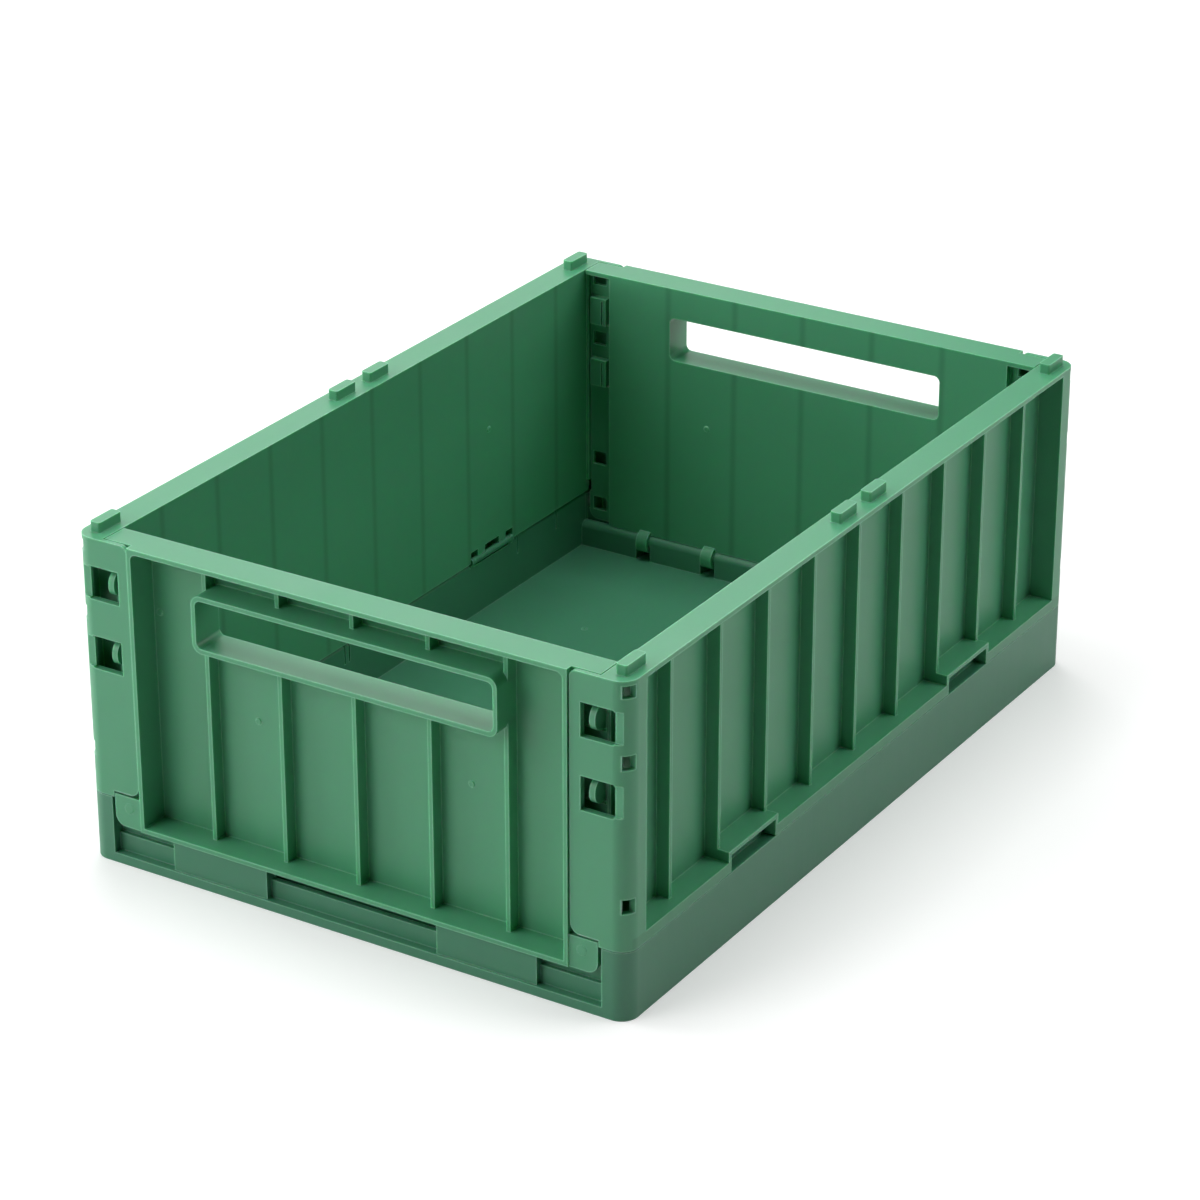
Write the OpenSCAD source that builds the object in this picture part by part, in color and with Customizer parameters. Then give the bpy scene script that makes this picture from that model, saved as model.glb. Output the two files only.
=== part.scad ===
// Collapsible storage crate: a base tray, two long sides and two end panels, all moulded.
// Millimetres, +Z up, origin at the centre of the footprint on the floor.
// The ends face -Y (front) and +Y (back); the long sides face -X (left) and +X (right).
// The end panels fold inward onto the floor first; the long sides then fold in on top of them.

/* [Overall size] */
// Outside width across the two long sides
crate_w = 275; // [273:1:282]
// Outside length between the corner posts
crate_l = 400; // [398:1:410]
// Height of the rim above the floor
rim_z = 154; // [150:0.5:154]
// Height of the base tray at the outside
base_h = 32; // [32:1:33]
// Outside radius of the vertical corners
corner_r = 8; // [6:0.5:9]

/* [Walls] */
// Thickness of the long sides, board to outer face
side_t = 14; // [13.5:0.5:15]
// Thickness of the boards
board_t = 2; // [1.8:0.1:2.2]
// Thickness of the ribs
rib_t = 2; // [1.6:0.2:2.4]
// Thickness of the top rims
rim_t = 2.2; // [1.8:0.2:2.6]
// Thickness of the outer skins
skin = 2.5; // [2:0.1:2.8]

/* [Ribs] */
// Distance between ribs on a long side
side_pitch = 39.4; // [39:0.1:40]
// Distance between ribs on an end panel
end_pitch = 37.6; // [37:0.1:38]
// How far the ribs stand out from the boards
rib_d = 6.3; // [5:0.1:6.5]

/* [Hand slot] */
// Clear width of the hand slot
slot_w = 148.4; // [140:0.2:150]
// Clear height of the hand slot
slot_h = 22.2; // [20:0.2:24]
// Height of the bottom of the hand slot above the floor
slot_z = 116.5; // [115:0.5:118]

/* [Stacking studs] */
// Height of the studs on the long rims
stud_h = 4.8; // [3:0.2:4.8]
// Length of a stud
stud_l = 15; // [12:0.5:16]
// Width of a stud
stud_w = 5.2; // [4:0.2:6]

/* [Hidden] */
$fn = 48;
green = [0.34, 0.55, 0.45];
base_green = [0.31, 0.50, 0.41];
rim_green = [0.55, 0.74, 0.64];
hw = crate_w / 2;
hl = crate_l / 2;
side_in = hw - side_t;
wall_in = side_in + 0.5;
wall_out = wall_in + 3;
col_in = wall_in + 0.8;
end_in = hl - 15.6;
end_out = hl + 0.8;
post_y = hl - 14;
floor_z = 3;
floor_top = 6;
deck_t = 2.5;
under_rim = rim_z - rim_t;
panel_z = base_h + 0.3;
// hinge of an end panel: the round rail of the base
end_axis_y = end_in + 1.1;
end_axis_z = 15.5;
rail_r = 3.5;
end_lug_x = [50, 87.5];
end_lug_w = 6.2;
end_z = end_axis_z + rail_r + 0.2;
// hinge of a long side: round bars in the two raised bays
side_axis_x = side_in + 1;
side_axis_z = base_h + 2.9;
bar_r = 1.8;
bay_0 = 2 * side_pitch + rib_t / 2;
bay_1 = 3 * side_pitch - rib_t / 2;
bay_top = base_h + 8.4;
side_lug_y = [bay_0 + 9.4, bay_1 - 9.4];
side_lug_w = 6;
side_z = base_h + 2.6;
flange_z = base_h + 3.3;
flange_top = flange_z + 2;
// end panel
frame_x = 109.2;
strip_x = side_in - 1.4;
foot_x = side_in - 0.4;
frame_z = end_z + 2.2;
strip_y = end_in + 4;
nose_x = 118.4;
hook_z = [126.2, 93.6];
hook_h = 14;
post_flange_x = frame_x + 0.6;
post_flange_z = base_h + 3.2;
foot_z = post_flange_z - 1;
window_z = [125.5, 92.7];
window_h = 15.4;
hole_z = [149.6, 117.8, 53];

// ---------------------------------------------------------------- helpers

// Draws its children as they are and mirrored to the other end.
module both_ends() {
  children();
  mirror([0, 1, 0]) children();
}

// Draws its children as they are and mirrored to the other side.
module both_sides() {
  children();
  mirror([1, 0, 0]) children();
}

// A block given by its two opposite corners.
module block(a, b) {
  translate(a) cube([b[0] - a[0], b[1] - a[1], b[2] - a[2]]);
}

// A flat rectangle with round corners, centred.
module round_rect(w, l, r) {
  square([w - 2 * r, l], center = true);
  square([w, l - 2 * r], center = true);
  for (x = [-1, 1], y = [-1, 1]) {
    translate([x * (w / 2 - r), y * (l / 2 - r)]) circle(r);
  }
}

// A round-cornered block that runs along Y; w and h are its width and height around the hand slot.
module slot_block(w, h, r, y0, y1) {
  translate([0, y1, slot_z + slot_h / 2]) rotate([90, 0, 0]) linear_extrude(y1 - y0) round_rect(w, h, r);
}

// The sliver outside a quarter circle, as a cutter along Y; x and z is the corner, sx and sz point inward.
module corner_cut(x, z, sx, sz, r) {
  translate([x, 0, z]) mirror([sx < 0 ? 1 : 0, 0, 0]) mirror([0, 0, sz < 0 ? 1 : 0]) {
    difference() {
      translate([-1, end_in, -1]) cube([r + 1, 30, r + 1]);
      translate([r, end_in - 1, r]) rotate([-90, 0, 0]) cylinder(r = r, h = 32);
    }
  }
}

// ---------------------------------------------------------------- base tray

module base_floor() color(base_green) {
  block([-wall_in, -(end_in - 2.4), floor_z], [wall_in, end_in - 2.4, floor_top]);
}

module base_floor_ribs() color(base_green) {
  for (x = [-80, -40, 0, 40, 80]) {
    block([x - 1, -(end_in - 2.4), 0.8], [x + 1, end_in - 2.4, floor_z]);
  }
  for (y = [-150, -100, -50, 0, 50, 100, 150]) {
    block([-wall_in, y - 1, 0.8], [wall_in, y + 1, floor_z]);
  }
}

module base_side() color(base_green) {
  difference() {
    union() {
      intersection() {
        linear_extrude(base_h) round_rect(crate_w, crate_l, corner_r);
        union() {
          block([wall_in, -post_y, 0], [hw, post_y, base_h]);
          both_ends() block([col_in, post_y, 0], [hw, hl, base_h]);
        }
      }
      block([wall_in, -post_y, base_h], [wall_out, post_y, base_h + 0.1]);
      translate([wall_in + 1.5, -post_y, base_h + 0.1]) rotate([-90, 0, 0]) cylinder(r = 1.5, h = 2 * post_y);
    }
    translate([0, 0, -1]) linear_extrude(base_h - deck_t + 1) intersection() {
      round_rect(crate_w - 2 * skin, crate_l - 2 * skin, corner_r - skin);
      translate([wall_out, -hl]) square([hw, 2 * hl]);
    }
    both_ends() block([wall_in - 1, bay_0, base_h], [wall_out + 1, bay_1, base_h + 5]);
    both_ends() for (y = [22.5, 26, 122.5, 158]) {
      block([wall_in - 1, y - 0.5, 24], [wall_out - 0.8, y + 0.5, base_h + 5]);
    }
  }
}

module base_sill() color(base_green) {
  block([-col_in, hl - 4, 0], [col_in, hl, 4.6]);
  block([-col_in, hl - 6.5, 0], [col_in, hl - 4, 13]);
  block([-col_in, hl - 11, floor_z], [col_in, hl - 6.5, floor_top]);
  both_sides() {
    block([43.5, hl - 6.5, 4.6], [93, hl - 1, end_z - 0.6]);
    block([92, hl - 11, floor_top], [col_in, hl - 6, end_z - 0.3]);
    // fills the corner that the foot's rounding leaves
    difference() {
      block([foot_x - 4, hl - 11, end_z - 0.6], [col_in, hl - 6, end_z + 5]);
      translate([foot_x - 5, hl - 12, end_z + 5]) rotate([-90, 0, 0]) cylinder(r = 5.3, h = 7);
    }
  }
}

module base_hinge_rail() color(base_green) {
  block([-wall_in, end_in - 2.4, floor_z], [wall_in, hl - 11, floor_top]);
  translate([-wall_in, end_axis_y, end_axis_z]) rotate([0, 90, 0]) cylinder(r = rail_r, h = 2 * wall_in);
  difference() {
    block([-wall_in, end_in - 2.4, floor_top], [wall_in, end_in + 4.6, end_axis_z]);
    both_sides() for (x = end_lug_x) {
      block([x - end_lug_w / 2 - 0.9, end_in - 3, floor_top], [x + end_lug_w / 2 + 0.9, hl, rim_z]);
    }
    for (s = [[-124, -93], [-82, -56], [-44.5, 44.5], [56, 82], [93, 124]]) {
      block([s[0] + 3, end_in - 0.2, 0], [s[1] - 3, end_in + 2.4, 10]);
    }
  }
}

module base_side_hinges() color(base_green) both_ends() {
  for (y = [bay_0 + 0.6, bay_1 - 3.2]) {
    block([wall_in, y, base_h], [side_axis_x + 2, y + 2.6, side_axis_z]);
    translate([side_axis_x, y, side_axis_z]) rotate([-90, 0, 0]) cylinder(r = 2, h = 2.6);
  }
  translate([side_axis_x, bay_0 + 0.6, side_axis_z]) rotate([-90, 0, 0]) {
    cylinder(r = bar_r, h = bay_1 - bay_0 - 1.2);
  }
  // a web behind the bay's opening
  block([wall_out + 3, bay_0 + 0.6, base_h], [wall_out + 4.4, bay_1 - 0.6, bay_top - 0.5]);
}

// ---------------------------------------------------------------- long side, drawn at +X

module side_board() color(green) {
  difference() {
    block([side_in, -post_y - 2, side_z], [side_in + board_t, post_y + 2, under_rim]);
    both_ends() block([side_in - 1, bay_0, 0], [hw, bay_1, bay_top]);
  }
}

// A narrow lip at each end closes the gap beside the latch strip.
module side_corner_lips() color(green) both_ends() {
  block([strip_x + 0.2, post_y, side_z + 6.4], [side_in, strip_y + 2.2, under_rim]);
}

module side_rim() color(rim_green) {
  translate([0, 0, under_rim]) linear_extrude(rim_t) intersection() {
    round_rect(crate_w, crate_l, corner_r);
    translate([side_in, -hl]) square([side_t, 2 * hl]);
  }
}

module side_bottom_flange() color(green) {
  difference() {
    union() {
      block([side_in + board_t, -post_y, flange_z], [hw, post_y, flange_top]);
      block([hw - skin, -post_y, panel_z], [hw, post_y, flange_z]);
    }
    both_ends() block([side_in, bay_0 - rib_t, 0], [hw + 1, bay_1 + rib_t, flange_top + 1]);
  }
  both_ends() {
    block([side_in + board_t, bay_0 - rib_t, bay_top], [hw, bay_1 + rib_t, bay_top + 2]);
    for (y = [bay_0 - rib_t, bay_1]) {
      block([side_in + board_t, y, flange_z], [hw, y + rib_t, bay_top]);
      block([wall_out + 1.5, y, panel_z], [hw, y + rib_t, flange_z]);
    }
  }
}

module side_ribs() color(green) {
  for (k = [-4:4]) {
    in_bay = abs(k) == 2 || abs(k) == 3;
    block([side_in + board_t, k * side_pitch - rib_t / 2, in_bay ? bay_top + 2 : flange_top],
      [side_in + board_t + rib_d, k * side_pitch + rib_t / 2, under_rim]);
  }
}

module side_post() color(green) {
  difference() {
    union() {
      intersection() {
        translate([0, 0, panel_z]) linear_extrude(under_rim - panel_z) difference() {
          round_rect(crate_w, crate_l, corner_r);
          round_rect(crate_w - 2 * skin, crate_l - 6, corner_r - skin);
        }
        block([side_in, post_y, 0], [hw, hl, rim_z]);
      }
      block([side_in + board_t, post_y, side_z], [hw - skin, post_y + 2, under_rim]);
      block([wall_out + 1.5, post_y, panel_z], [hw - skin, hl - 3, side_z]);
      block([post_flange_x, hl - 3, post_flange_z], [side_in, hl, under_rim]);
      block([post_flange_x, hl - 2, under_rim], [side_in, hl, rim_z]);
    }
    for (z = window_z) {
      block([115, hl - 4.5, z], [130.5, hl + 1, z + window_h]);
      block([130, hl - 1.5, z + 0.6], [hw + 1, hl + 1, z + window_h - 0.6]);
    }
    for (z = hole_z) {
      block([hw - 5, hl - 6, z - 3.3], [hw + 1, hl - 1.2, z + 3.3]);
    }
    corner_cut(post_flange_x, post_flange_z, 1, 1, 5);
    corner_cut(post_flange_x, rim_z, 1, -1, 3);
    // the lower edge slopes so that the end panel's foot swings out from under it
    translate([100, 0, 0]) rotate([90, 0, 90]) linear_extrude(side_in - 100) {
      polygon([[hl - 4, base_h], [hl + 1, base_h], [hl + 1, post_flange_z - 0.1], [hl, post_flange_z],
        [hl - 3, post_flange_z + 2.8], [hl - 4, post_flange_z + 2.8]]);
    }
  }
}

module side_studs() color(rim_green) both_ends() {
  for (y = [5.8 + stud_l / 2, hl - 5.6 - stud_l / 2]) {
    translate([hw - 4.4 - stud_w / 2, y, rim_z]) linear_extrude(stud_h) round_rect(stud_w, stud_l, 1);
  }
}

module side_hinge_lugs() color(green) both_ends() {
  for (y = side_lug_y) {
    difference() {
      union() {
        intersection() {
          translate([side_axis_x, y - side_lug_w / 2, side_axis_z]) rotate([-90, 0, 0]) {
            cylinder(r = 2.85, h = side_lug_w);
          }
          block([side_in, 0, 0], [hw, hl, bay_top]);
        }
        block([side_in, y - side_lug_w / 2, side_axis_z + 1], [side_axis_x + 2.85, y + side_lug_w / 2, bay_top]);
      }
      translate([side_axis_x, y - side_lug_w, side_axis_z]) rotate([-90, 0, 0]) {
        cylinder(r = bar_r + 0.15, h = 2 * side_lug_w);
      }
      block([side_axis_x - 1.1, y - side_lug_w, base_h], [side_axis_x + 1.1, y + side_lug_w, side_axis_z]);
    }
  }
}

// ---------------------------------------------------------------- end panel, drawn at +Y

// The space that the hinge lugs take out of the board and the frame.
module lug_space() both_sides() for (x = end_lug_x) {
  block([x - end_lug_w / 2, end_in - 1, 0], [x + end_lug_w / 2, end_axis_y + 6.2, frame_z]);
}

module end_board() color(green) {
  difference() {
    block([-frame_x + 2, end_in, end_z], [frame_x - 2, end_in + board_t, under_rim]);
    slot_block(slot_w, slot_h, 3, end_in - 1, end_in + 5);
    lug_space();
  }
}

module end_rim() color(rim_green) {
  block([-frame_x, end_in, under_rim], [frame_x, end_out, rim_z]);
  both_sides() block([frame_x, end_in, under_rim], [foot_x - 0.2, hl - 2.8, rim_z]);
}

module end_frame() color(green) {
  difference() {
    union() {
      block([-frame_x, end_in + board_t, end_z], [frame_x, end_out, frame_z]);
      both_sides() block([frame_x - 2, end_in, end_z], [frame_x, end_out, under_rim]);
      both_sides() translate([0, end_out, 0]) rotate([90, 0, 0]) linear_extrude(end_out - end_in - board_t) {
        difference() {
          translate([frame_x - 5, under_rim - 3]) square(3);
          translate([frame_x - 5, under_rim - 3]) circle(r = 3);
        }
      }
    }
    lug_space();
  }
  both_sides() difference() {
    block([frame_x, strip_y, end_z], [foot_x, hl, foot_z]);
    block([frame_x - 1, strip_y - 1, frame_z], [foot_x - 2, hl - 2.5, foot_z + 1]);
    corner_cut(foot_x, end_z, -1, 1, 5);
  }
}

module end_ribs() color(green) {
  difference() {
    for (k = [-2:2]) {
      block([k * end_pitch - rib_t / 2, end_in + board_t, frame_z],
        [k * end_pitch + rib_t / 2, end_in + board_t + rib_d, under_rim]);
    }
    slot_block(slot_w + 4, slot_h + 4.4, 4.6, end_in, end_out);
  }
}

module end_hand_grip() color(rim_green) {
  difference() {
    slot_block(slot_w + 4, slot_h + 4.4, 4.6, end_in + board_t, end_out);
    slot_block(slot_w, slot_h, 3, end_in, end_out + 1);
  }
}

module end_latch_strips() color(green) both_sides() {
  difference() {
    block([frame_x, strip_y, frame_z], [strip_x, strip_y + 2, under_rim]);
    block([foot_x - 2, strip_y - 1, 0], [foot_x, strip_y + 3, foot_z]);
    for (z = hook_z) {
      block([frame_x + 2.4, strip_y - 1, z - 0.9], [strip_x - 0.8, strip_y + 3, z + hook_h]);
    }
    for (z = concat(hole_z, [28])) {
      block([frame_x + 4, strip_y - 1, z - 3.5], [frame_x + 11.5, strip_y + 3, z + 3.5]);
    }
  }
}

module end_snap_hooks() color(green) both_sides() {
  for (z = hook_z) {
    difference() {
      block([frame_x + 2.4, end_in + 0.4, z], [strip_x - 1.7, strip_y + 2, z + hook_h]);
      block([frame_x + 4.2, end_in - 1, z - 1], [frame_x + 5.1, end_in + 2.6, z + hook_h - 1.2]);
    }
    intersection() {
      block([nose_x, strip_y + 2, z + 1.5], [nose_x + 2.8, hl - 1.2, z + hook_h - 1.5]);
      union() {
        block([nose_x, strip_y, z], [nose_x + 3, hl - 6.2, z + hook_h]);
        block([nose_x, strip_y, z + 6.5], [nose_x + 3, hl, z + hook_h - 6.5]);
        for (c = [z + 6.5, z + hook_h - 6.5]) {
          translate([nose_x - 1, hl - 6.2, c]) rotate([0, 90, 0]) cylinder(r = 5, h = 5);
        }
      }
    }
  }
}

module end_hinge_lugs() color(green) both_sides() {
  for (x = end_lug_x) {
    difference() {
      union() {
        translate([x - end_lug_w / 2, end_axis_y, end_axis_z]) rotate([0, 90, 0]) {
          cylinder(r = 5.8, h = end_lug_w);
        }
        block([x - end_lug_w / 2, end_in, end_axis_z + 1], [x + end_lug_w / 2, end_axis_y + 6.2, frame_z]);
      }
      translate([x - end_lug_w, end_axis_y, end_axis_z]) rotate([0, 90, 0]) {
        cylinder(r = rail_r + 0.2, h = 2 * end_lug_w);
      }
      block([x - end_lug_w, end_axis_y - 2, 0], [x + end_lug_w, end_axis_y + 2, end_axis_z]);
    }
  }
}

// ---------------------------------------------------------------- nodes

base_floor();
base_floor_ribs();
mirror([1, 0, 0]) base_side();  // base_side_left
base_side();  // base_side_right
mirror([0, 1, 0]) base_sill();  // base_sill_front
base_sill();  // base_sill_back
mirror([0, 1, 0]) base_hinge_rail();  // base_hinge_rail_front
base_hinge_rail();  // base_hinge_rail_back
mirror([1, 0, 0]) base_side_hinges();  // base_side_hinges_left
base_side_hinges();  // base_side_hinges_right
mirror([1, 0, 0]) side_board();  // left_board
mirror([1, 0, 0]) side_rim();  // left_rim
mirror([1, 0, 0]) side_bottom_flange();  // left_bottom_flange
mirror([1, 0, 0]) side_ribs();  // left_ribs
mirror([0, 1, 0]) mirror([1, 0, 0]) side_post();  // left_post_front
mirror([1, 0, 0]) side_post();  // left_post_back
mirror([1, 0, 0]) side_studs();  // left_stacking_studs
mirror([1, 0, 0]) side_corner_lips();  // left_corner_lips
mirror([1, 0, 0]) side_hinge_lugs();  // left_hinge_lugs
side_board();  // right_board
side_rim();  // right_rim
side_bottom_flange();  // right_bottom_flange
side_ribs();  // right_ribs
mirror([0, 1, 0]) side_post();  // right_post_front
side_post();  // right_post_back
side_studs();  // right_stacking_studs
side_corner_lips();  // right_corner_lips
side_hinge_lugs();  // right_hinge_lugs
mirror([0, 1, 0]) end_board();  // front_board
mirror([0, 1, 0]) end_rim();  // front_rim
mirror([0, 1, 0]) end_frame();  // front_frame
mirror([0, 1, 0]) end_ribs();  // front_ribs
mirror([0, 1, 0]) end_hand_grip();  // front_hand_grip
mirror([0, 1, 0]) end_latch_strips();  // front_latch_strips
mirror([0, 1, 0]) end_snap_hooks();  // front_snap_hooks
mirror([0, 1, 0]) end_hinge_lugs();  // front_hinge_lugs
end_board();  // back_board
end_rim();  // back_rim
end_frame();  // back_frame
end_ribs();  // back_ribs
end_hand_grip();  // back_hand_grip
end_latch_strips();  // back_latch_strips
end_snap_hooks();  // back_snap_hooks
end_hinge_lugs();  // back_hinge_lugs
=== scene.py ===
"""Looks, light and camera of the collapsible storage crate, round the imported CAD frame.

Each of the five mouldings becomes one continuous mesh: its CAD nodes are united, the sharp edges
are rounded as far as their neighbours leave room, and the round marks of moulding are added."""
import math

import bmesh
import bpy
import numpy as np
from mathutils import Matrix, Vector


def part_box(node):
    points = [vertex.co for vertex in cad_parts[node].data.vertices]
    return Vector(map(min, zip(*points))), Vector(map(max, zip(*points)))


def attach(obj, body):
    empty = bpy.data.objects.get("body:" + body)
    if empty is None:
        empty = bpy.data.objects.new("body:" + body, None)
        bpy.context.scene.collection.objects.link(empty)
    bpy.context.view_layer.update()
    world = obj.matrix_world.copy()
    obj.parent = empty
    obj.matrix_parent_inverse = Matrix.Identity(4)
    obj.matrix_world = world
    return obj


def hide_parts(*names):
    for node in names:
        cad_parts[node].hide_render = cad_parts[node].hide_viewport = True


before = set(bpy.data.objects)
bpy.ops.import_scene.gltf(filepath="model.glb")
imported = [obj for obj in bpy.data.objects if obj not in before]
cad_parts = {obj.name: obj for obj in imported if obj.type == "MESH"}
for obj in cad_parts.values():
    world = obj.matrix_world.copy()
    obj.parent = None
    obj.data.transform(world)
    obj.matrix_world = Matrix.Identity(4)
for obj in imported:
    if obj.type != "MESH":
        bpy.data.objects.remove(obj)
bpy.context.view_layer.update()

MM = 0.001
EDGE_RADIUS = 0.55 * MM      # rounding of a moulded edge
MIN_RADIUS = 0.12 * MM       # an edge with less room stays sharp
ROOM_SHARE = 2.3             # rounding takes at most this part of the gap to the next edge
SHARP = math.radians(28)     # edges that turn more than this are rounded
FLAT = math.radians(0.6)     # faces that turn less than this are one face
CHAIN = math.radians(80)     # neighbours in a smooth bend don't limit each other

# colours of the two plastics, linear; the base tray's is darker, painted shade for the dimmer light low down
# beside the shadowed floor
SHADED_BASE_COLOUR = (0.0575, 0.239, 0.135)
PANEL_COLOUR = (0.082, 0.343, 0.18)
GLOSS = 0.4                  # roughness before its unevenness
EDGE_HIGHLIGHT = 0.6              # painted highlight: how much brighter the edges are
EDGE_HIGHLIGHT_WHITE = 0.24             # and how much the painted highlight whitens them
EDGE_HIGHLIGHT_WIDTH = 0.9 * MM
TRANSLUCENCY = 0.5
LIGHT_PATH = (0.4 * MM, 3.5 * MM, 1.1 * MM)      # how far red, green and blue go inside the plastic

# the panels' planes and the pitch of their ribs, from the CAD
RIB = 2 * MM
SIDE_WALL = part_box("right_board")[0].x           # inner face of a long side
END_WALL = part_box("back_board")[0].y             # inner and outer face of an end panel
END_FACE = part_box("back_board")[1].y
FLOOR_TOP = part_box("base_floor")[1].z
BASE_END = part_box("base_side_right")[1].y        # the feet end flush with the base tray
SIDE_STEPS, END_STEPS = 4, 2                     # ribs on each side of the middle one
SIDE_PITCH = (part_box("right_ribs")[1].y - RIB / 2) / SIDE_STEPS
END_PITCH = (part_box("back_ribs")[1].x - RIB / 2) / END_STEPS
SKIRT_TOP, SKIRT_OUT, SKIRT_SHADE = 37.6 * MM, 136.8 * MM, -0.16    # a long side's lower lip, darker as painted shade where the floor beside it lies in shadow

GATE = (1.5 * MM, 0.6 * MM)         # radius and height of the mark that a moulding's gate leaves
EJECTOR = (2.5 * MM, 0.18 * MM)     # and of the mark on an end panel's foot


def both_ways(*marks):
    """The marks, and the same marks turned half way round the crate."""
    return list(marks) + [((-x, -y, z), (-a, -b, c), size) for (x, y, z), (a, b, c), size in marks]


IN, OUT = (0, 1, 0), (0, -1, 0)     # directions at the front end
END_MARKS = both_ways(
    ((-52.7 * MM, -END_WALL, 84.4 * MM), IN, GATE), ((52.7 * MM, -END_WALL, 84.4 * MM), IN, GATE),
    ((-54 * MM, -END_FACE, 81.5 * MM), OUT, GATE), ((54 * MM, -END_FACE, 81.5 * MM), OUT, GATE),
    ((-104.2 * MM, -END_FACE, 120 * MM), OUT, GATE),
    ((-115.5 * MM, -BASE_END, 28.5 * MM), OUT, EJECTOR),
    ((115.5 * MM, -BASE_END, 28.5 * MM), OUT, EJECTOR))

# place, direction and size of the round marks that moulding leaves
MARKS = {
    "base_tray": [((x * MM, y * MM, FLOOR_TOP), (0, 0, 1), GATE)
                  for x in (-69.7, 69.7) for y in (-97.9, 97.9)],
    "left_long_side": [((-SIDE_WALL, y * MM, 99.6 * MM), (1, 0, 0), GATE) for y in (-97, 97)],
    "right_long_side": [((SIDE_WALL, y * MM, 99.6 * MM), (-1, 0, 0), GATE) for y in (-97, 97)],
    "front_end_panel": [m for m in END_MARKS if m[0][1] < 0],
    "back_end_panel": [m for m in END_MARKS if m[0][1] > 0],
}

FLOOR_HALF = 6.0
FLOOR_GLOW = 0.24            # the floor is overexposed for the camera
GLOSSY_GLOW = -0.14          # and less so in reflections
FLOOR_FAR, FLOOR_FADE, FAR_GLOW = 1.5, 0.8, 1.0    # where the lamps don't reach, the floor stays white
FLOOR_WHITE, FLOOR_BOUNCE = 0.9, 0.5               # as seen, and for the light that bounces off it

LENS, SENSOR = 121.0, 36.0
CAMERA_AT, LOOKS_AT = (0.872, -1.404, 0.849), (0, 0, 0.0775)
LAMP_DISTANCE, LAMPS_LOOK_AT = 2.2, (0, 0, 0.08)
# name, azimuth (0 is the front, 90 the right) and elevation in degrees, size in metres, watts
LAMPS = [
    ("left_low", -70, 12, 0.9, 24),
    ("front_left", -30, 30, 1.2, 14),
    ("front_left_high", -50, 60, 1.2, 7),
    ("front", -10, 25, 1.2, 3),
    ("right_back", 120, 30, 1.2, 14),
    ("back_left", -140, 35, 1.2, 10),
]

# name: (body, prefix of its CAD nodes, material slot)
MOULDINGS = {
    "base_tray": ("crate", "base_", "base_plastic"),
    "left_long_side": ("crate", "left_", "panel_plastic"),
    "right_long_side": ("crate", "right_", "panel_plastic"),
    "front_end_panel": ("front_end", "front_", "panel_plastic"),
    "back_end_panel": ("back_end", "back_", "panel_plastic"),
}


# ---------------------------------------------------------------- meshes

def welded(mesh):
    bm = bmesh.new()
    bm.from_mesh(mesh)
    bmesh.ops.remove_doubles(bm, verts=bm.verts, dist=1e-6)
    return bm


def disc(name, centre, direction, radius, height):
    """A low domed disc, a round mark of moulding."""
    bm = bmesh.new()
    steps = 20
    rings = [(1.0, -0.4), (1.0, 0.35), (0.86, 0.8), (0.55, 1.0)]
    turn = Vector((0, 0, 1)).rotation_difference(Vector(direction)).to_matrix()
    loops = []
    for share, z in rings:
        loops.append([bm.verts.new(Vector(centre) + turn @ Vector((
            radius * share * math.cos(2 * math.pi * k / steps),
            radius * share * math.sin(2 * math.pi * k / steps), height * z))) for k in range(steps)])
    for a, b in zip(loops, loops[1:]):
        for k in range(steps):
            bm.faces.new((a[k], a[(k + 1) % steps], b[(k + 1) % steps], b[k]))
    bm.faces.new(list(reversed(loops[0])))
    bm.faces.new(loops[-1])
    mesh = bpy.data.meshes.new(name)
    bm.to_mesh(mesh)
    bm.free()
    return mesh


def united(name, meshes):
    """One closed mesh of several closed meshes that touch or overlap."""
    parts = []
    for k, mesh in enumerate(meshes):
        bm = welded(mesh)
        copy = bpy.data.meshes.new(f"{name}_part_{k}")
        bm.to_mesh(copy)
        bm.free()
        parts.append(bpy.data.objects.new(copy.name, copy))
    rest = bpy.data.collections.new(name + "_parts")
    bpy.context.scene.collection.children.link(rest)
    bpy.context.scene.collection.objects.link(parts[0])
    for part in parts[1:]:
        rest.objects.link(part)
    union = parts[0].modifiers.new("union", "BOOLEAN")
    union.operation, union.solver = "UNION", "MANIFOLD"
    union.operand_type, union.collection = "COLLECTION", rest
    graph = bpy.context.evaluated_depsgraph_get()
    mesh = bpy.data.meshes.new_from_object(parts[0].evaluated_get(graph))
    for part in parts:
        bpy.data.objects.remove(part)
    bpy.data.collections.remove(rest)
    bm = welded(mesh)
    bmesh.ops.dissolve_limit(bm, angle_limit=FLAT, verts=bm.verts, edges=bm.edges,
                             use_dissolve_boundaries=False)
    return bm


def segment_distances(p, q):
    """Smallest distance between every pair of segments p[i] to q[i], by sampling their ends and middles."""
    d = q - p
    length2 = np.maximum((d * d).sum(1), 1e-18)
    out = np.full((len(p), len(p)), 1e9)
    for t in (0.0, 0.5, 1.0):
        x = p + t * d
        s = np.einsum("ijk,jk->ij", x[:, None] - p[None], d) / length2[None]
        foot = p[None] + np.clip(s, 0, 1)[..., None] * d[None]
        out = np.minimum(out, np.linalg.norm(x[:, None] - foot, axis=2))
    return np.minimum(out, out.T)


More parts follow.
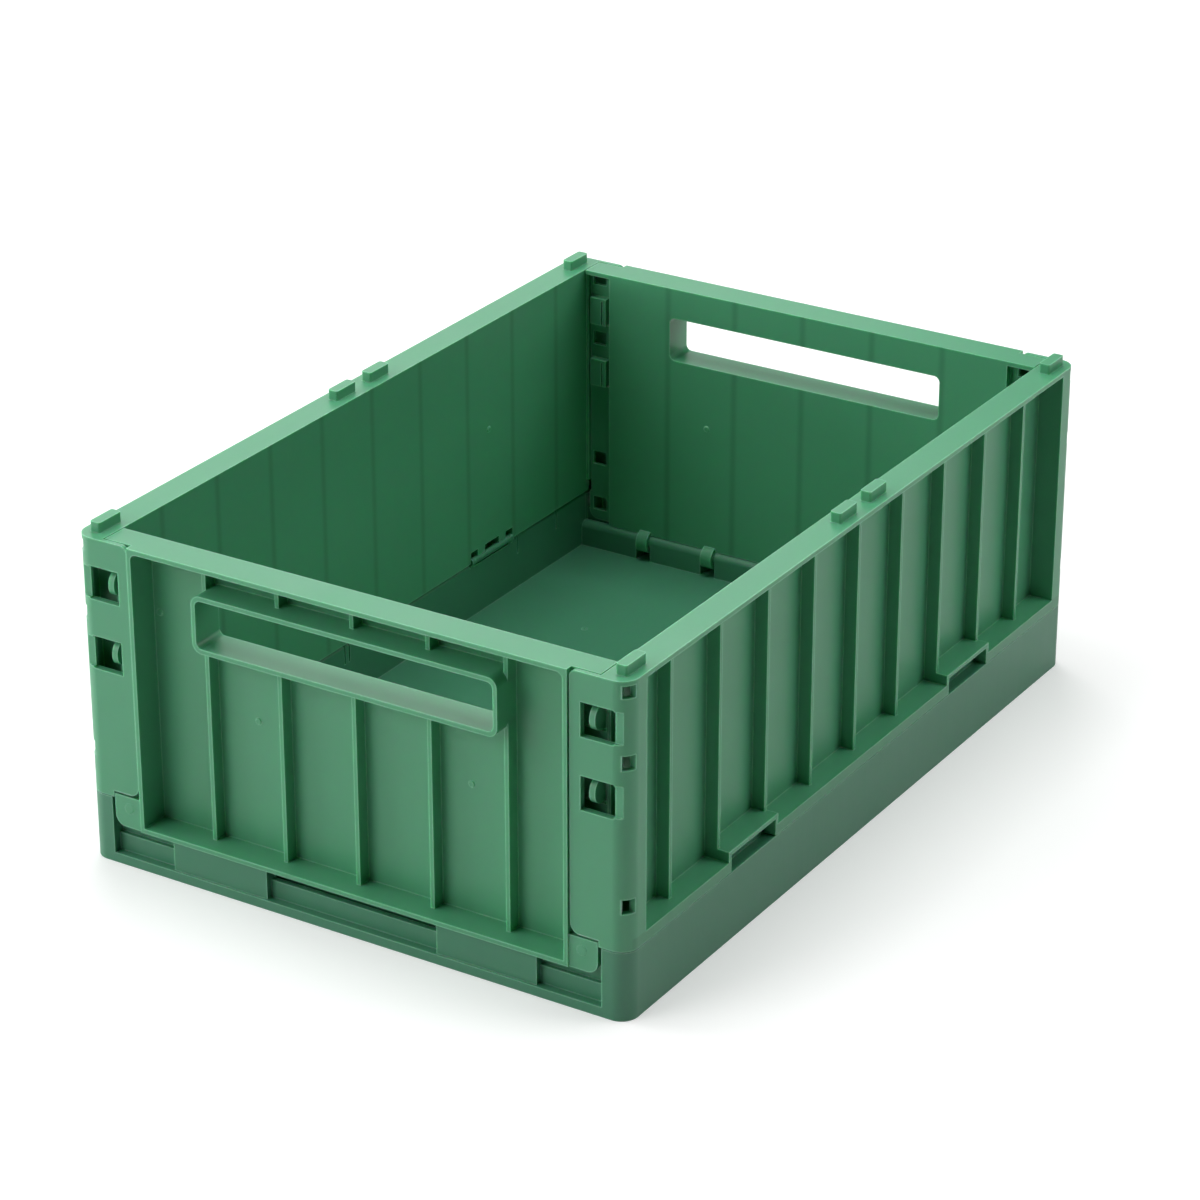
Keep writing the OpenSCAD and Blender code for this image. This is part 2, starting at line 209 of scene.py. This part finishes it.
def rooms(bm):
    """How far each sharp edge can be rounded before it meets another one on the same flat face."""
    sharp = {e for e in bm.edges if len(e.link_faces) == 2 and e.calc_face_angle() > SHARP}
    room = {e: 1.0 for e in sharp}
    region = {}
    for face in bm.faces:
        if face in region:
            continue
        group, stack = [], [face]
        region[face] = face
        while stack:
            f = stack.pop()
            group.append(f)
            for e in f.edges:
                if e in sharp or len(e.link_faces) != 2 or e.calc_face_angle() > FLAT * 2:
                    continue
                for g in e.link_faces:
                    if g not in region:
                        region[g] = face
                        stack.append(g)
        rim = list(dict.fromkeys(e for f in group for e in f.edges if e in sharp))
        if len(rim) < 3:
            continue
        index = {e: k for k, e in enumerate(rim)}
        p = np.array([e.verts[0].co for e in rim])
        q = np.array([e.verts[1].co for e in rim])
        gap = segment_distances(p, q)
        direction = (q - p) / np.maximum(np.linalg.norm(q - p, axis=1), 1e-12)[:, None]
        at = {}
        for e in rim:
            for v in e.verts:
                at.setdefault(v, []).append(e)
        for e in rim:
            k = index[e]
            near = {e}
            for start in e.verts:
                v, last, turned = start, e, 0.0
                while True:
                    following = [g for g in at[v] if g is not last]
                    near.update(following)
                    if len(following) != 1 or following[0] is e:
                        break
                    g = following[0]
                    cosine = abs(float(direction[index[last]] @ direction[index[g]]))
                    turned += math.acos(min(1.0, cosine))
                    if turned > CHAIN:
                        break
                    v, last = g.other_vert(v), g
            for g in near:
                gap[k, index[g]] = 1e9
        for e in rim:
            room[e] = min(room[e], float(gap[index[e]].min()) / ROOM_SHARE)
    return room


def rounded(name, bm):
    """An object of that mesh with its edges rounded and its flat faces shaded flat."""
    room = rooms(bm)
    weight = bm.edges.layers.float.new("bevel_weight_edge")
    for e in bm.edges:
        r = min(room.get(e, 0.0), EDGE_RADIUS)
        if r >= MIN_RADIUS:
            e[weight] = r / EDGE_RADIUS
        elif e in room:
            e.smooth = False
    for f in bm.faces:
        f.smooth = True
    mesh = bpy.data.meshes.new(name)
    bm.to_mesh(mesh)
    bm.free()
    piece = bpy.data.objects.new(name, mesh)
    bpy.context.scene.collection.objects.link(piece)
    bevel = piece.modifiers.new("round_edges", "BEVEL")
    bevel.limit_method, bevel.width, bevel.segments = "WEIGHT", EDGE_RADIUS, 2
    bevel.use_clamp_overlap, bevel.miter_outer, bevel.material = False, "MITER_SHARP", 1
    for _ in range(2):
        mesh.materials.append(None)
    graph = bpy.context.evaluated_depsgraph_get()
    piece.data = bpy.data.meshes.new_from_object(piece.evaluated_get(graph))
    piece.modifiers.clear()
    shade(piece.data)
    return piece


def shade(mesh):
    """Flat faces keep their own normal, and rounds and rounded edges blend."""
    faces, loops = len(mesh.polygons), len(mesh.loops)
    normal = np.zeros(faces * 3)
    area, strip = np.zeros(faces), np.zeros(faces, int)
    start, total = np.zeros(faces, int), np.zeros(faces, int)
    vertex = np.zeros(loops, int)
    mesh.polygons.foreach_get("normal", normal)
    mesh.polygons.foreach_get("area", area)
    mesh.polygons.foreach_get("material_index", strip)
    mesh.polygons.foreach_get("loop_start", start)
    mesh.polygons.foreach_get("loop_total", total)
    mesh.loops.foreach_get("vertex_index", vertex)
    normal = normal.reshape(-1, 3)
    around = [[] for _ in range(len(mesh.vertices))]
    for f in range(faces):
        for k in range(start[f], start[f] + total[f]):
            around[vertex[k]].append(f)
    limit = math.cos(SHARP)
    out = np.zeros((loops, 3))
    for f in range(faces):
        for k in range(start[f], start[f] + total[f]):
            near = around[vertex[k]]
            plain = [g for g in near if not strip[g]]
            own = normal[f]
            if strip[f] and plain:
                own = normal[max(plain, key=lambda g: float(normal[g] @ own))]
            if strip[f] and not plain:
                use = near
            else:
                use = [g for g in plain if float(normal[g] @ own) > limit] or [f]
            n = sum(normal[g] * area[g] for g in use)
            size = np.linalg.norm(n)
            out[k] = n / size if size > 1e-15 else own
    mesh.polygons.foreach_set("material_index", np.zeros(faces, int))
    mesh.polygons.foreach_set("use_smooth", np.ones(faces, bool))
    mesh.materials.clear()
    mesh.normals_split_custom_set(out.tolist())


# ---------------------------------------------------------------- materials

class Shader:
    """Short names for building a node material."""

    def __init__(self, name):
        self.material = bpy.data.materials.new(name)
        self.material.use_nodes = True
        self.nodes = self.material.node_tree.nodes
        self.links = self.material.node_tree.links
        self.bsdf = self.nodes["Principled BSDF"]
        self.place = self.nodes.new("ShaderNodeTexCoord").outputs["Object"]
        axes = self.nodes.new("ShaderNodeSeparateXYZ")
        self.links.new(self.place, axes.inputs[0])
        self.x, self.y, self.z = axes.outputs

    def put(self, socket, value):
        if isinstance(value, (int, float, tuple)):
            socket.default_value = value
        else:
            self.links.new(value, socket)

    def math(self, kind, *values):
        node = self.nodes.new("ShaderNodeMath")
        node.operation = kind
        for socket, value in zip(node.inputs, values):
            self.put(socket, value)
        return node.outputs[0]

    def add(self, *values):
        out = values[0]
        for value in values[1:]:
            out = self.math("ADD", out, value)
        return out

    def times(self, *values):
        out = values[0]
        for value in values[1:]:
            out = self.math("MULTIPLY", out, value)
        return out

    def noise(self, scale, detail=2.0, stretch=(1, 1, 1)):
        """Noise from -1 to 1 at so many features a metre."""
        where = self.place
        if stretch != (1, 1, 1):
            mapping = self.nodes.new("ShaderNodeMapping")
            self.put(mapping.inputs["Vector"], where)
            mapping.inputs["Scale"].default_value = stretch
            where = mapping.outputs[0]
        node = self.nodes.new("ShaderNodeTexNoise")
        self.put(node.inputs["Vector"], where)
        node.inputs["Scale"].default_value = scale
        node.inputs["Detail"].default_value = detail
        return self.math("MULTIPLY_ADD", node.outputs["Fac"], 2.0, -1.0)

    def below(self, value, limit, soft):
        """1 where value is under limit, 0 above, over a soft step."""
        node = self.nodes.new("ShaderNodeMapRange")
        node.interpolation_type = "SMOOTHSTEP"
        self.put(node.inputs["Value"], value)
        node.inputs["From Min"].default_value = limit - soft
        node.inputs["From Max"].default_value = limit + soft
        node.inputs["To Min"].default_value = 1.0
        node.inputs["To Max"].default_value = 0.0
        return node.outputs[0]

    def above(self, value, limit, soft):
        return self.below(self.times(value, -1.0), -limit, soft)

    def vector(self, kind, *values):
        node = self.nodes.new("ShaderNodeVectorMath")
        node.operation = kind
        for socket, value in zip(node.inputs, values):
            self.put(socket, value)
        return node

    def bump(self, height, distance, strength=1.0, normal=None):
        node = self.nodes.new("ShaderNodeBump")
        node.inputs["Strength"].default_value = strength
        node.inputs["Distance"].default_value = distance
        self.put(node.inputs["Height"], height)
        if normal is not None:
            self.put(node.inputs["Normal"], normal)
        return node.outputs[0]

    def lines(self, along, pitch, last, across, plane):
        """Lines 3 mm wide on the wall at +-plane, opposite the ribs, which stand at every pitch: where the
        wall sinks, and where painted shade stands for the ribs blocking the light through the wall.
        """
        step = self.math("DIVIDE", along, pitch)
        off = self.math("ABSOLUTE", self.math("SUBTRACT", step, self.math("ROUND", step)))
        shape = self.below(self.times(off, pitch), 1.5 * MM, 1.4 * MM)
        wall = self.below(self.math("ABSOLUTE", self.math("SUBTRACT", self.math("ABSOLUTE", across), plane)),
                          0.5 * MM, 0.1 * MM)
        inside = self.below(self.math("ABSOLUTE", along), (last + 0.4) * pitch, 0.1 * MM)
        return self.times(shape, wall, inside)


def plastic(name, colour, sinks_and_shade):
    """Satin moulded plastic: fine grain, slow waviness, uneven gloss, a painted highlight along the edges,
    and on the panels sink lines with painted shade along them and painted shade on the long sides' lower
    lip."""
    s = Shader(name)
    cloud = s.noise(11.0, 3.0)
    flow = s.noise(34.0, 2.0, (1, 1, 0.25))
    grain = s.noise(2300.0, 1.0)
    scuff = s.noise(520.0, 3.0, (1, 1, 0.08))
    tone = s.add(1.0, s.times(cloud, 0.045), s.times(flow, 0.03), s.times(grain, 0.02))
    height = s.add(s.times(flow, 0.5), s.times(cloud, 0.5))
    rough = s.add(GLOSS, s.times(flow, 0.05), s.times(scuff, 0.035), s.times(grain, 0.03))
    if sinks_and_shade:
        sink_and_rib_shade = s.add(s.lines(s.y, SIDE_PITCH, SIDE_STEPS, s.x, SIDE_WALL),
                     s.lines(s.x, END_PITCH, END_STEPS, s.y, END_WALL))
        # painted shade: the panels darker along these lines, where the outer ribs block the light that comes
        # through the wall; the sink dip is the bump below
        tone = s.times(tone, s.math("MULTIPLY_ADD", sink_and_rib_shade, -0.2, 1.0))
        height = s.add(height, s.times(sink_and_rib_shade, -0.3))
    normal = s.bump(height, 0.12 * MM, 0.6)
    normal = s.bump(grain, 0.012 * MM, 0.5, normal)
    # painted highlight along the edges: where the rounded normal turns away from the face, the colour is
    # made brighter and whiter, unevenly, and the gloss rises
    round_edge = s.nodes.new("ShaderNodeBevel")
    round_edge.samples = 3
    round_edge.inputs["Radius"].default_value = EDGE_HIGHLIGHT_WIDTH
    facing = s.vector("DOT_PRODUCT", round_edge.outputs[0],
                      s.nodes.new("ShaderNodeNewGeometry").outputs["Normal"])
    edge = s.below(facing.outputs["Value"], 0.93, 0.06)
    edge = s.times(edge, s.math("MULTIPLY_ADD", s.noise(160.0, 2.0), 0.35, 0.65))
    tone = s.times(tone, s.math("MULTIPLY_ADD", edge, EDGE_HIGHLIGHT, 1.0))
    if sinks_and_shade:
        # painted shade: the long sides' lower lip darker, as the floor beside it lies in shadow
        skirt_shade = s.times(s.below(s.z, SKIRT_TOP, 0.3 * MM),
                        s.above(s.math("ABSOLUTE", s.x), SKIRT_OUT, 0.3 * MM))
        tone = s.times(tone, s.math("MULTIPLY_ADD", skirt_shade, SKIRT_SHADE, 1.0))
    tint = s.vector("SCALE", colour)
    s.put(tint.inputs["Scale"], tone)
    # painted highlight: the edges whitened
    highlighted_tint = s.vector("MULTIPLY_ADD", edge, (EDGE_HIGHLIGHT_WHITE,) * 3, tint.outputs[0])
    s.put(s.bsdf.inputs["Base Color"], highlighted_tint.outputs[0])
    s.put(s.bsdf.inputs["Roughness"], s.add(rough, s.times(edge, -0.1)))
    s.put(s.bsdf.inputs["Normal"], normal)
    s.bsdf.inputs["IOR"].default_value = 1.5
    s.bsdf.inputs["Subsurface Weight"].default_value = TRANSLUCENCY
    s.bsdf.inputs["Subsurface Radius"].default_value = LIGHT_PATH
    s.bsdf.inputs["Subsurface Scale"].default_value = 1.0
    return s.material


# ---------------------------------------------------------------- stage, light, camera

def stage():
    """A pale paper floor."""
    mesh = bpy.data.meshes.new("floor")
    e = FLOOR_HALF
    mesh.from_pydata([(-e, -e, 0), (e, -e, 0), (e, e, 0), (-e, e, 0)], [], [(0, 1, 2, 3)])
    floor = bpy.data.objects.new("floor", mesh)
    bpy.context.scene.collection.objects.link(floor)
    s = Shader("floor_paper")
    path = s.nodes.new("ShaderNodeLightPath")
    seen = s.math("SUBTRACT", 1.0, path.outputs["Is Diffuse Ray"])
    tone = s.math("MULTIPLY_ADD", seen, FLOOR_WHITE - FLOOR_BOUNCE, FLOOR_BOUNCE)
    tone = s.add(tone, s.times(s.noise(7.0, 2.0), 0.004))
    s.put(s.bsdf.inputs["Base Color"], tone)
    s.put(s.bsdf.inputs["Roughness"], 0.9)
    s.put(s.bsdf.inputs["Emission Color"], (1, 1, 1, 1))
    glow = s.math("MULTIPLY_ADD", path.outputs["Is Glossy Ray"], GLOSSY_GLOW, FLOOR_GLOW)
    reach = s.math("SQRT", s.add(s.times(s.x, s.x), s.times(s.y, s.y)))
    far = s.math("SUBTRACT", 1.0, s.below(reach, FLOOR_FAR, FLOOR_FADE))
    glow = s.add(glow, s.times(far, path.outputs["Is Camera Ray"], FAR_GLOW))
    s.put(s.bsdf.inputs["Emission Strength"], s.times(seen, glow))
    mesh.materials.append(s.material)


def studio():
    """A world that is white behind the set and adds no light."""
    world = bpy.data.worlds.new("studio")
    world.use_nodes = True
    nodes, links = world.node_tree.nodes, world.node_tree.links
    path = nodes.new("ShaderNodeLightPath")
    links.new(path.outputs["Is Camera Ray"], nodes["Background"].inputs["Strength"])
    nodes["Background"].inputs["Color"].default_value = (1, 1, 1, 1)
    bpy.context.scene.world = world


def softbox(name, place, target, size, power):
    light = bpy.data.lights.new(name, "AREA")
    light.shape, light.size, light.size_y = "RECTANGLE", size[0], size[1]
    light.energy = power
    lamp = bpy.data.objects.new(name, light)
    lamp.location = place
    lamp.rotation_mode = "QUATERNION"
    lamp.rotation_quaternion = (Vector(target) - Vector(place)).to_track_quat("-Z", "Y")
    bpy.context.scene.collection.objects.link(lamp)


def camera():
    data = bpy.data.cameras.new("camera")
    data.lens, data.sensor_width = LENS, SENSOR
    cam = bpy.data.objects.new("camera", data)
    cam.location = CAMERA_AT
    cam.rotation_mode = "QUATERNION"
    cam.rotation_quaternion = (Vector(LOOKS_AT) - cam.location).to_track_quat("-Z", "Y")
    bpy.context.scene.collection.objects.link(cam)
    bpy.context.scene.camera = cam


# ---------------------------------------------------------------- the scene

# the base tray's darker plastic is painted shade
plastics = {"base_plastic": plastic("base_plastic", SHADED_BASE_COLOUR, False),
            "panel_plastic": plastic("panel_plastic", PANEL_COLOUR, True)}
for name, (body, prefix, slot) in MOULDINGS.items():
    nodes = sorted(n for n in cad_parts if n.startswith(prefix))
    marks = [disc(f"{name}_mark_{k}", place, out, *size)
             for k, (place, out, size) in enumerate(MARKS[name])]
    bm = united(name, [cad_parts[n].data for n in nodes] + marks)
    piece = rounded(name, bm)
    piece.data.materials.append(plastics[slot])
    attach(piece, body)
    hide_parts(*nodes)

stage()
for name, azimuth, elevation, size, power in LAMPS:
    a, e = math.radians(azimuth), math.radians(elevation)
    out = Vector((math.sin(a) * math.cos(e), -math.cos(a) * math.cos(e), math.sin(e)))
    softbox(name, out * LAMP_DISTANCE, LAMPS_LOOK_AT, (size, size), power)
softbox("top", (0, 0.2, 2.3), (0, 0, 0), (1.6, 1.2), 34)
camera()
studio()
bpy.context.scene.view_settings.view_transform = "Standard"
